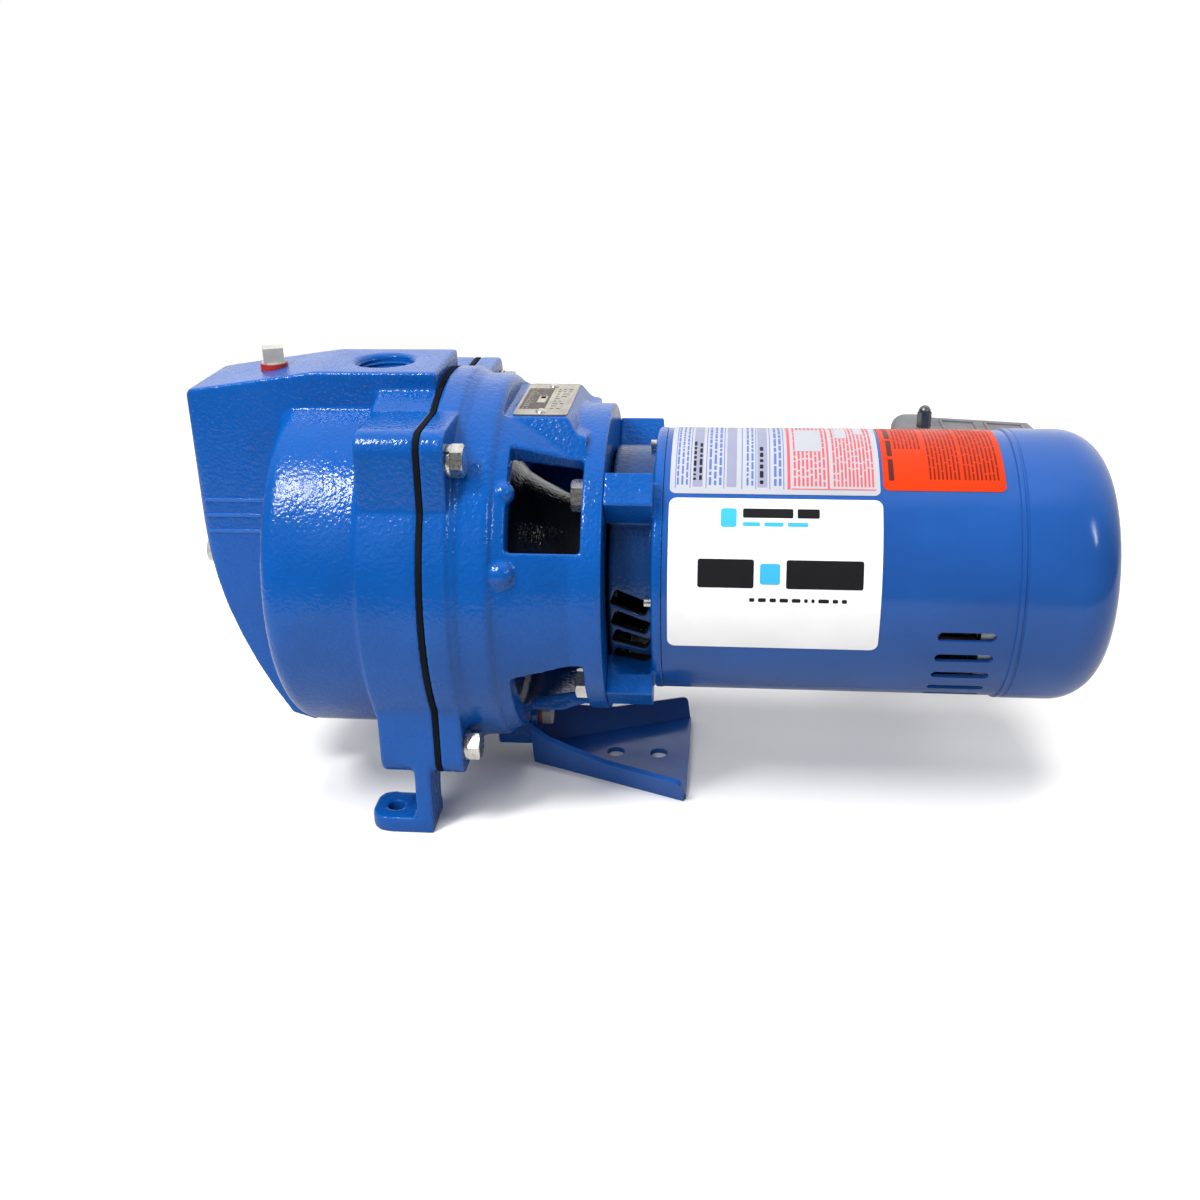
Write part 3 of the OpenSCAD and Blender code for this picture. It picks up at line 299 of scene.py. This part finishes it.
MATERIALS = {
    "enamel": enamel("enamel", CAST_BLUE, CAST_GRAIN, CAST_WAVES),
    "sheet_enamel": enamel("sheet_enamel", SHEET_BLUE, 0.01 * MM, 0.08 * MM, cast=False),
    "zinc": metal("zinc", (0.70, 0.69, 0.66), 0.30, spots=(0.56, 0.52, 0.43)),
    "rusty_washer": rusty(),
    "steel": metal("steel", (0.50, 0.51, 0.53), 0.28, lines=(0.1, 1, 1)),
    "lamination": laminated(),
    "die_cast": metal("die_cast", (0.34, 0.35, 0.36), 0.48, grain=0.12 * MM),
    "brass": metal("brass", (0.68, 0.45, 0.16), 0.27),
    "copper": metal("copper", (0.60, 0.29, 0.15), 0.32),
    "rubber": moulded("rubber", (0.006, 0.006, 0.007), 0.75, Specular_IOR_Level=0.1),
    "sealant": moulded("sealant", (0.42, 0.022, 0.014), 0.38, grain=0.4 * MM, scale=260),
    "dark_plastic": moulded("dark_plastic", (0.035, 0.038, 0.043), 0.42),
    "phenolic": moulded("phenolic", (0.13, 0.052, 0.028), 0.40),
    "collar_plastic": moulded("collar_plastic", (0.72, 0.68, 0.55), 0.35, Subsurface_Weight=0.1),
    "capacitor_case": moulded("capacitor_case", (0.02, 0.02, 0.023), 0.22, Coat_Weight=0.3),
    "ceramic": moulded("ceramic", (0.80, 0.75, 0.64), 0.12, grain=0.005 * MM),
    "plate": metal("plate", (0.52, 0.48, 0.41), 0.33, lines=(1, 0.1, 1)),
    "label_white": paper("label_white", (0.86, 0.86, 0.87)),
    "label_data": paper("label_data", (0.42, 0.43, 0.47)),
    "label_orange": paper("label_orange", (0.56, 0.034, 0.002)),
    "switch_grey": moulded("switch_grey", (0.11, 0.11, 0.12), 0.42, grain=0.08 * MM, scale=380),
    "ink_black": paper("ink_black", (0.012, 0.012, 0.014)),
    "conduit": metal("conduit", (0.45, 0.46, 0.47), 0.42, spots=(0.30, 0.31, 0.32)),
}


def cover_with(obj, *graphs):
    """Gives an object its materials, in the order of its faces' material numbers."""
    if obj.data.materials:
        obj.data.materials.clear()
    for graph in graphs:
        obj.data.materials.append(graph.mat)


def finish_cad_nodes():
    """Every CAD node takes its slot's material, and a few take one of their own."""
    for node, slot in SLOTS.items():
        cover_with(NODES[node], MATERIALS[slot])
    own = {
        "adapter": adapter_enamel(),
        "motor_front_bracket": bracket_enamel(),
        "stator_windings": windings(),
        "foot_bolt": moulded("pale_zinc", (0.60, 0.58, 0.52), 0.34, grain=0.1 * MM, scale=300),
        "cover_nut": metal("dark_zinc", (0.26, 0.26, 0.27), 0.38),
        "priming_plug": moulded("dull_zinc", (0.40, 0.39, 0.35), 0.38, grain=0.1 * MM, scale=300),
    }
    for node, graph in own.items():
        cover_with(NODES[node], graph)


# ---------- CAD nodes that stay, with rounder edges ----------

CASTINGS = {  # node: voxel in mm, passes of smoothing
    "casing": (0.9, 16),
    "adapter": (0.9, 8),
    "motor_front_bracket": (0.7, 4),
    "switch_cover": (0.6, 7),
}
BEVELLED = {  # node: width of its rounded edges in mm
    "casing_bolts": 0.45, "motor_bolts": 0.45, "foot_bolt": 0.4, "casing_lock_washers": 0.25,
    "foot_lock_washer": 0.25, "foot_bracket": 0.5, "priming_plug": 0.35, "nozzle_plug": 0.3,
    "drain_plug": 0.3, "nameplate_pins": 0.1, "cover_nut": 0.25,
    "end_cover_screws": 0.3, "tube_fittings": 0.3, "conduit_nipple": 0.3, "switch_base": 0.5,
    "switch_lever": 0.25, "governor_base": 0.3, "terminal_board": 0.3,
}


def modifier(obj, kind, **settings):
    made = obj.modifiers.new(kind.lower(), kind)
    for key, value in settings.items():
        setattr(made, key, value)
    return made


def round_castings():
    for name, (voxel, passes) in CASTINGS.items():
        obj = NODES[name]
        size = voxel * MM * 1
        modifier(obj, "WELD", merge_threshold=0.001 * MM)
        modifier(obj, "REMESH", mode="VOXEL", voxel_size=size, use_smooth_shade=True)
        modifier(obj, "SMOOTH", factor=0.5, iterations=passes // 1)


def bevel_hardware():
    for name, width in BEVELLED.items():
        obj = NODES[name]
        modifier(obj, "WELD", merge_threshold=0.001 * MM)
        modifier(obj, "BEVEL", width=width * MM, segments=3, limit_method="ANGLE",
                 angle_limit=math.radians(32), harden_normals=True, use_clamp_overlap=True)


# ---------- pieces made here ----------

def new_piece(name, bm, body="pump"):
    mesh = bpy.data.meshes.new(name)
    bm.to_mesh(mesh)
    bm.free()
    obj = bpy.data.objects.new(name, mesh)
    bpy.context.scene.collection.objects.link(obj)
    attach(obj, body)
    return obj


def smooth_by_angle(obj, degrees=32):
    for face in obj.data.polygons:
        face.use_smooth = True
    obj.data.set_sharp_from_angle(angle=math.radians(degrees))


def rounded(u0, v0, u1, v1, radius, steps=5):
    """Outline of a rectangle with round corners, anticlockwise."""
    points = []
    for cu, cv, start in ((u1 - radius, v0 + radius, -90), (u1 - radius, v1 - radius, 0),
                          (u0 + radius, v1 - radius, 90), (u0 + radius, v0 + radius, 180)):
        for i in range(steps + 1):
            a = math.radians(start + 90 * i / steps)
            points.append((cu + radius * math.cos(a), cv + radius * math.sin(a)))
    return points


def lathe(name, profile, segments=180):
    """A solid turned about the shaft from a closed outline of (x, r) points in mm."""
    bm = bmesh.new()
    rings = []
    for x, r in profile:
        ring = []
        for i in range(segments if r > 0 else 1):
            a = math.tau * i / segments
            ring.append(bm.verts.new((x * MM, r * MM * math.cos(a), AXIS_Z + r * MM * math.sin(a))))
        rings.append(ring)
    for one, two in zip(rings, rings[1:] + rings[:1]):
        for i in range(segments):
            j = (i + 1) % segments
            corners = [one[i % len(one)], one[j % len(one)], two[j % len(two)], two[i % len(two)]]
            corners = list(dict.fromkeys(corners))
            if len(corners) > 2:
                bm.faces.new(corners)
    bmesh.ops.recalc_face_normals(bm, faces=bm.faces)
    obj = new_piece(name, bm)
    smooth_by_angle(obj, 28)
    return obj


def arc_points(x, r, radius, start, end, steps):
    """Points of an arc in a lathe outline, its angles counted from straight out towards +X."""
    angles = [math.radians(start + (end - start) * i / steps) for i in range(steps + 1)]
    return [(x + radius * math.sin(a), r + radius * math.cos(a)) for a in angles]


def make_end_cover():
    """A drawn cup with a double bead at its seam and a stamped ring in its end."""
    low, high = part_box("end_cover")
    seam, end = 1000 * low.x, 1000 * high.x
    radius, corner, sheet = 500 * (high.z - low.z), 25, 1.4
    floor = end - sheet - 1.2     # the cup's inside stays clear of the stamped ring
    bead = [(seam + along, radius - dip) for along, dip in (
        (0, 0.9), (0.4, 0.1), (1.3, 0), (2.4, 0.15), (2.9, 0.75), (3.6, 0.75), (4.1, 0.15), (5.0, 0))]
    outside = arc_points(end - corner, radius - corner, corner, 0, 90, 28)
    stamp = [(end - dip, r) for dip, r in (
        (0, 36), (0.4, 35), (1.2, 34), (1.2, 30), (0.4, 29), (0, 28), (0, 0))]
    inside = arc_points(end - corner, radius - corner, corner - sheet, 90, 0, 12)
    cup = lathe("drawn_end_cover", bead + outside + stamp + [(floor, 0), (floor, 38)]
                + inside + [(seam, radius - sheet - 0.1)])
    cover_with(cup, MATERIALS["sheet_enamel"])
    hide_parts("end_cover")


def make_port_thread(mount):
    """The crests of a pipe thread, as one ridge wound up the wall of a port."""
    pitch, turns, steps = 2.2 * MM, 6, 60
    root, depth, runout = 0.3 * MM, 0.9 * MM, 30
    radius = mount["dims"]["r_mm"] * MM
    axis = Vector(mount["axis"])
    side = axis.orthogonal().normalized()
    other = axis.cross(side)
    mouth = Vector(mount["pos_m"]) + axis * (0.5 * mount["dims"]["length_mm"] * MM - 2.5 * MM)
    bm = bmesh.new()
    last = None
    for i in range(turns * steps + 1):
        a = math.tau * i / steps
        out = math.cos(a) * side + math.sin(a) * other
        back = mouth - axis * (pitch * i / steps)
        fade = min(1.0, i / runout, (turns * steps - i) / runout)
        row = [bm.verts.new(back + out * (radius + root - dip * fade) + axis * along * pitch)
               for dip, along in ((0, 0.5), (depth, 0.12), (depth, -0.12), (0, -0.5))]
        if last:
            for k in range(3):
                bm.faces.new((last[k], last[k + 1], row[k + 1], row[k]))
        last = row
    bmesh.ops.recalc_face_normals(bm, faces=bm.faces)
    obj = new_piece(mount["name"] + "_thread", bm)
    smooth_by_angle(obj, 30)
    cover_with(obj, MATERIALS["enamel"])


def soft_bar(bm, low, high, soft):
    """A bar with rounded edges, from its lowest to its highest corner."""
    middle = (Vector(low) + Vector(high)) / 2
    size = Vector(high) - Vector(low)
    made = bmesh.ops.create_cube(bm, size=1)["verts"]
    for vert in made:
        vert.co = Vector(c * d for c, d in zip(vert.co, size)) + middle
    edges = dict.fromkeys(edge for vert in made for edge in vert.link_edges)
    bmesh.ops.bevel(bm, geom=list(edges), offset=soft, segments=3, affect="EDGES", profile=0.5)


def make_nose_ribs():
    """Three shallow cast ribs on each cheek of the casing's nose."""
    cheek, sunk, proud, half_rib, soft = (n * MM for n in (29, 1.2, 0.4, 1.0, 0.35))
    front, back = -105 * MM, -56 * MM
    bm = bmesh.new()
    for up in (39.5, 30.9, 21.8):
        for side in (-1, 1):
            near, far = sorted((side * (cheek - sunk), side * (cheek + proud)))
            z = AXIS_Z + up * MM
            soft_bar(bm, (front, near, z - half_rib), (back, far, z + half_rib), soft)
    obj = new_piece("nose_ribs", bm)
    smooth_by_angle(obj, 50)
    cover_with(obj, MATERIALS["enamel"])


def make_switch_frames():
    """Raised frames on the sloping top of the switch cover."""
    low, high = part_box("switch_cover")
    margin, bar, lift, soft = (n * MM for n in (7, 1.8, 0.7, 0.4))
    near, far = low.y + margin, high.y - margin
    # the slope starts 23 mm behind the cover's front and ends 11 mm before its back
    slope_start, slope_end = low.x + 23 * MM, high.x - 11 * MM
    dip_start, dip_end = 1.8 * MM, 5.0 * MM
    bm = bmesh.new()
    for start, end in ((28, 50), (55, 79)):
        x0, x1 = low.x + start * MM, low.x + end * MM
        for corner, other in (((x0, near), (x1, near + bar)), ((x0, far - bar), (x1, far)),
                              ((x0, near), (x0 + bar, far)), ((x1 - bar, near), (x1, far))):
            soft_bar(bm, (*corner, -lift), (*other, lift), soft)
    fall = (dip_end - dip_start) / (slope_end - slope_start)
    for vert in bm.verts:
        vert.co.z += high.z - dip_start - fall * (vert.co.x - slope_start)
    obj = new_piece("switch_cover_frames", bm)
    smooth_by_angle(obj, 50)
    cover_with(obj, MATERIALS["switch_grey"])


def make_range_spring():
    """The pressure switch's spring, which the tilting lever presses up against its top end."""
    bm = bmesh.new()
    bm.from_mesh(NODES["switch_spring"].data)
    bmesh.ops.remove_doubles(bm, verts=bm.verts, dist=0.001 * MM)
    obj = new_piece("range_spring", bm)
    smooth_by_angle(obj, 50)
    cover_with(obj, MATERIALS["steel"])
    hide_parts("switch_spring")
    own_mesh(obj)


def make_nameplate():
    """A thin plate with round corners; its print is plain blocks."""
    low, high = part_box("nameplate")
    width, length = high.x - low.x, high.y - low.y
    umber = metal("ink_umber", (0.085, 0.058, 0.040), 0.35)
    black = MATERIALS["ink_black"]
    bm = bmesh.new()
    outline = rounded(0, 0, 1000 * width, 1000 * length, 2)
    under, over = ([bm.verts.new((low.x + u * MM, low.y + v * MM, z)) for u, v in outline]
                   for z in (low.z, high.z))
    bm.faces.new(reversed(under))
    bm.faces.new(over)
    for i in range(len(outline)):
        bm.faces.new((under[i - 1], under[i], over[i], over[i - 1]))
    # each row: number of the material, height above the plate and outlines, all in mm
    shapes = [(1, 0.03, [rounded(1.5, 11, 15, 55, 0.8)]),
              (2, 0.03, bars(31, 17.5, 26, 53, 9, 1.3, 5.0, 5)),
              (0, 0.06, [rounded(9, 24, 13.5, 38, 0.4)] + bars(32, 3, 8, 53, 10, 1.1, 4.3, 3)),
              (2, 0.06, [rounded(10, 33, 12.6, 37, 0.3)])]
    for number, lift, outlines in shapes:
        for outline in outlines:
            corners = [bm.verts.new((low.x + u * MM, low.y + v * MM, high.z + lift * MM))
                       for u, v in outline]
            bm.faces.new(corners).material_index = number
    obj = new_piece("printed_nameplate", bm)
    smooth_by_angle(obj, 30)
    cover_with(obj, MATERIALS["plate"], umber, black)
    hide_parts("nameplate")


def wrap_of(node):
    """A wrapped label's first x, width, lowest angle, height along the curve and radius."""
    points = [v.co for v in NODES[node].data.vertices]
    angles = [math.atan2(p.z - AXIS_Z, -p.y) for p in points]
    radius = max(math.hypot(p.y, p.z - AXIS_Z) for p in points)
    x0, x1 = min(p.x for p in points), max(p.x for p in points)
    return x0, x1 - x0, min(angles), (max(angles) - min(angles)) * radius, radius


def flat_size(node):
    """Width and height in mm of a wrapped label laid flat."""
    _, width, _, height, _ = wrap_of(node)
    return 1000 * width, 1000 * height


def wrapped_sheet(node, layers):
    """A label on the motor: layers are outlines in mm on the flat sheet, each with its material."""
    ply, strip = 0.03 * MM, 2.2 * MM
    x0, width, low, height, radius = wrap_of(node)
    bm = bmesh.new()
    graphs = []
    for depth, (graph, outlines) in enumerate(layers):
        graphs.append(graph)
        lift = ply * depth
        for outline in outlines:
            corners = [bm.verts.new((u * MM, v * MM, lift)) for u, v in outline]
            bm.faces.new(corners).material_index = depth
    cut = 0.0
    while cut < height:
        cut += strip
        bmesh.ops.bisect_plane(bm, geom=bm.verts[:] + bm.edges[:] + bm.faces[:],
                               plane_co=(0, cut, 0), plane_no=(0, 1, 0))
    for vert in bm.verts:
        u, v, lift = vert.co
        a = low + v / radius
        vert.co = (x0 + u, -(radius + lift) * math.cos(a), AXIS_Z + (radius + lift) * math.sin(a))
    obj = new_piece("sheet_" + node, bm)
    smooth_by_angle(obj, 20)
    cover_with(obj, *graphs)
    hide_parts(node)


def bars(seed, u0, u1, v_top, rows, height, pitch, longest=9.0):
    """Rows of plain bars that stand for print."""
    rng = random.Random(seed)
    found = []
    for row in range(rows):
        v1 = v_top - row * pitch
        u = u0
        while True:
            run = rng.uniform(0.25, 1.0) * longest
            if u + run > u1:
                break
            found.append(rounded(u, v1 - height, u + run, v1, height * 0.3, 2))
            u += run + height * 0.9
    return found


def columns(seed, u0, u1, v0, v1, width, pitch, longest=9.0):
    """Bars that run up the sheet, in columns from u0 to u1."""
    lying = bars(seed, v0, v1, u1, int((u1 - u0) / pitch) + 1, width, pitch, longest)
    return [[(u, v) for v, u in reversed(outline)] for outline in lying]


def make_white_label():
    black, white = MATERIALS["ink_black"], MATERIALS["label_white"]
    sky = paper("ink_sky", (0.05, 0.42, 0.72))
    width, height = flat_size("white_label")
    heading = [rounded(37, 69.5, 62, 74.5, 0.8), rounded(64, 69.5, 75, 74.5, 0.8)]
    blocks = [rounded(15, 34, 43, 48.5, 1.2), rounded(59, 34, 97, 48.5, 1.2)]
    squares = [rounded(26, 64.5, 34, 74.5, 1.5), rounded(46, 36, 56, 46.5, 1.2)]
    wrapped_sheet("white_label", [
        (white, [rounded(0, 0, width, height, 4)]),
        (black, heading + blocks + bars(3, 41, 93, 29, 1, 2.0, 3, 6)),
        (sky, squares + bars(5, 37, 80, 67.3, 1, 2.2, 3, 12)),
    ])


def make_data_label():
    """Blue columns of print on the left, and red ones in a frame on the right."""
    stock, black = MATERIALS["label_data"], MATERIALS["ink_black"]
    navy = paper("ink_navy", (0.10, 0.16, 0.42))
    red = paper("ink_red", (0.62, 0.10, 0.12))
    lilac = paper("ink_lilac", (0.26, 0.27, 0.38))
    width, height = flat_size("data_label")
    top = height - 4
    panels = [rounded(u, 4, u + 5, top - 1, 0.4, 1) for u in (11.5, 28.5, 44)]
    rules = [rounded(u, 3, u + 0.4, top, 0.1, 1) for u in (2.5, 10, 18, 27, 36, 43, 50, 57)]
    blue_print = (columns(11, 4, 9, 5, top, 1.0, 2.3, 6) + columns(12, 19.5, 26, 5, top, 1.3, 2.6, 8)
                  + columns(13, 37.5, 42, 5, top, 1.1, 2.4, 7) + columns(16, 52, 56, 5, top, 1.3, 2.4, 9))
    bold_print = columns(17, 12, 16, 8, 40, 1.4, 3.0, 5) + columns(18, 45, 47, 6, 34, 1.8, 3.0, 6)
    red_lines = [rounded(59, 3, 60.5, top, 0.1, 1), rounded(79, 3, 80, top, 0.1, 1),
                 rounded(61, 3, 103, 3.6, 0.1, 1)]
    red_print = columns(14, 62, 78, 5, top, 1.1, 2.1, 9) + columns(15, 82, 102, 5, top, 1.0, 1.9, 12)
    blanks = [rounded(63, 30, 76, 58, 0.6), rounded(84, 44, 90, 64, 0.6), rounded(94, 50, 99, 64, 0.6)]
    wrapped_sheet("data_label", [
        (stock, [rounded(0, 0, width, height, 3)]),
        (lilac, panels),
        (navy, rules + blue_print),
        (black, bold_print),
        (red, red_lines + red_print),
        (stock, blanks),
    ])


def make_orange_label():
    deep = paper("ink_deep", (0.20, 0.010, 0.003))
    umber = paper("ink_brown", (0.09, 0.014, 0.012))
    width, height = flat_size("orange_label")
    top = height - 4
    print_columns = (columns(21, 8, 20, 30, top, 0.9, 2.0, 10) + columns(22, 23, 38, 7, top, 0.9, 2.0, 12)
                     + columns(24, 41, 57, 7, top, 0.9, 2.0, 12))
    wrapped_sheet("orange_label", [
        (MATERIALS["label_orange"], [rounded(0, 0, width, height, 3)]),
        (deep, print_columns),
        (umber, columns(23, 3.5, 5.5, 6, top - 4, 2.6, 4, 16)),
    ])


# ---------- surroundings ----------

FLOOR_R = 0.85
FLOOR_LIGHT = 0.55     # share of the floor's brightness that reaches the pump from below


def make_floor():
    """A pale floor that shines back less at the pump than at the camera."""
    bm = bmesh.new()
    bmesh.ops.create_circle(bm, cap_ends=True, segments=96, radius=FLOOR_R)
    mesh = bpy.data.meshes.new("floor")
    bm.to_mesh(mesh)
    bm.free()
    floor = bpy.data.objects.new("floor", mesh)
    floor.location = (0.13, 0.15, 0)
    bpy.context.scene.collection.objects.link(floor)
    cream = (0.97, 0.96, 0.94)
    g = Graph("floor", cream, 0.6)
    seen = g.add("ShaderNodeLightPath").outputs["Is Camera Ray"]
    g.color(g.blend(seen, tinted(cream, FLOOR_LIGHT), varied(g, cream, 0.99, 1.0, 3)))
    cover_with(floor, g)


def lamp(name, kind, place, target, power, mirrored=True, **settings):
    light = bpy.data.lights.new(name, kind)
    light.energy = power
    for key, value in settings.items():
        setattr(light, key, value)
    obj = bpy.data.objects.new(name, light)
    obj.visible_glossy = mirrored
    obj.location = place
    obj.rotation_euler = (Vector(target) - Vector(place)).to_track_quat("-Z", "Y").to_euler()
    bpy.context.scene.collection.objects.link(obj)


def make_lights():
    """Sun through a wide sky, two small lamps that glint, and a soft one in front."""
    middle = (0.13, 0, 0.12)
    lamp("overhead", "SUN", (0.22, -0.22, 1.5), middle, 1.75, mirrored=False, angle=math.radians(26))
    lamp("window", "AREA", (-0.46, -0.62, 1.20), (-0.04, -0.06, 0.2), 12.0,
         shape="RECTANGLE", size=0.22, size_y=0.40)
    lamp("glint", "AREA", (1.15, -0.55, 0.80), (0.36, -0.03, 0.16), 2.0,
         shape="RECTANGLE", size=0.10, size_y=0.30)
    lamp("front", "AREA", (-0.7, -1.6, 1.1), middle, 20, mirrored=False,
         shape="RECTANGLE", size=1.2, size_y=0.8)


def make_room():
    """A room that is bright above and behind the pump and dim in front, but looks white."""
    world = bpy.data.worlds.new("studio")
    world.use_nodes = True
    tree = world.node_tree
    sky = tree.nodes["Background"]
    sky.inputs["Color"].default_value = (1, 1, 1, 1)
    toward = tree.nodes.new("ShaderNodeVectorMath")
    toward.operation = "DOT_PRODUCT"
    tree.links.new(tree.nodes.new("ShaderNodeTexCoord").outputs["Generated"], toward.inputs[0])
    toward.inputs[1].default_value = Vector((0.10, 0.80, 0.60)).normalized()
    glow = tree.nodes.new("ShaderNodeMapRange")
    tree.links.new(toward.outputs["Value"], glow.inputs["Value"])
    span = {"From Min": 0.25, "From Max": 0.85, "To Min": 0.14, "To Max": 1.15}
    for key, number in span.items():
        glow.inputs[key].default_value = number
    seen = tree.nodes.new("ShaderNodeLightPath").outputs["Is Camera Ray"]
    shown = tree.nodes.new("ShaderNodeMath")
    shown.operation = "MAXIMUM"
    tree.links.new(glow.outputs[0], shown.inputs[0])
    tree.links.new(seen, shown.inputs[1])
    tree.links.new(shown.outputs[0], sky.inputs["Strength"])
    bpy.context.scene.world = world


CAMERA_PLACE = (0.177, -0.6811, 0.3903)
CAMERA_TURN = (-5.98, 22.95, 1.10)     # degrees to the right, down and round its own line of sight
CAMERA_LENS = 39.51                    # on a frame 36 mm wide


def make_camera():
    yaw, pitch, roll = (math.radians(a) for a in CAMERA_TURN)
    ahead = Vector((math.sin(yaw) * math.cos(pitch), math.cos(yaw) * math.cos(pitch), -math.sin(pitch)))
    right = Vector((math.cos(yaw), -math.sin(yaw), 0))
    down = ahead.cross(right)
    across = math.cos(roll) * right + math.sin(roll) * down
    lower = -math.sin(roll) * right + math.cos(roll) * down
    camera = bpy.data.cameras.new("camera")
    camera.lens = CAMERA_LENS
    camera.sensor_width = 36
    camera.clip_start = 0.01
    obj = bpy.data.objects.new("camera", camera)
    turn = Matrix((across, -lower, -ahead)).transposed().to_4x4()
    obj.matrix_world = Matrix.Translation(CAMERA_PLACE) @ turn
    bpy.context.scene.collection.objects.link(obj)
    bpy.context.scene.camera = obj


# ---------- the whole scene ----------

finish_cad_nodes()
round_castings()
bevel_hardware()
make_white_label()
make_data_label()
make_orange_label()
make_nameplate()
make_end_cover()
for port in frame["record"]["mounts"]:
    if port["kind"] == "threaded_hole":
        make_port_thread(port)
make_nose_ribs()
make_switch_frames()
make_range_spring()
make_floor()
make_lights()
make_room()
make_camera()
bpy.context.scene.view_settings.view_transform = "Standard"

bpy.context.view_layer.update()
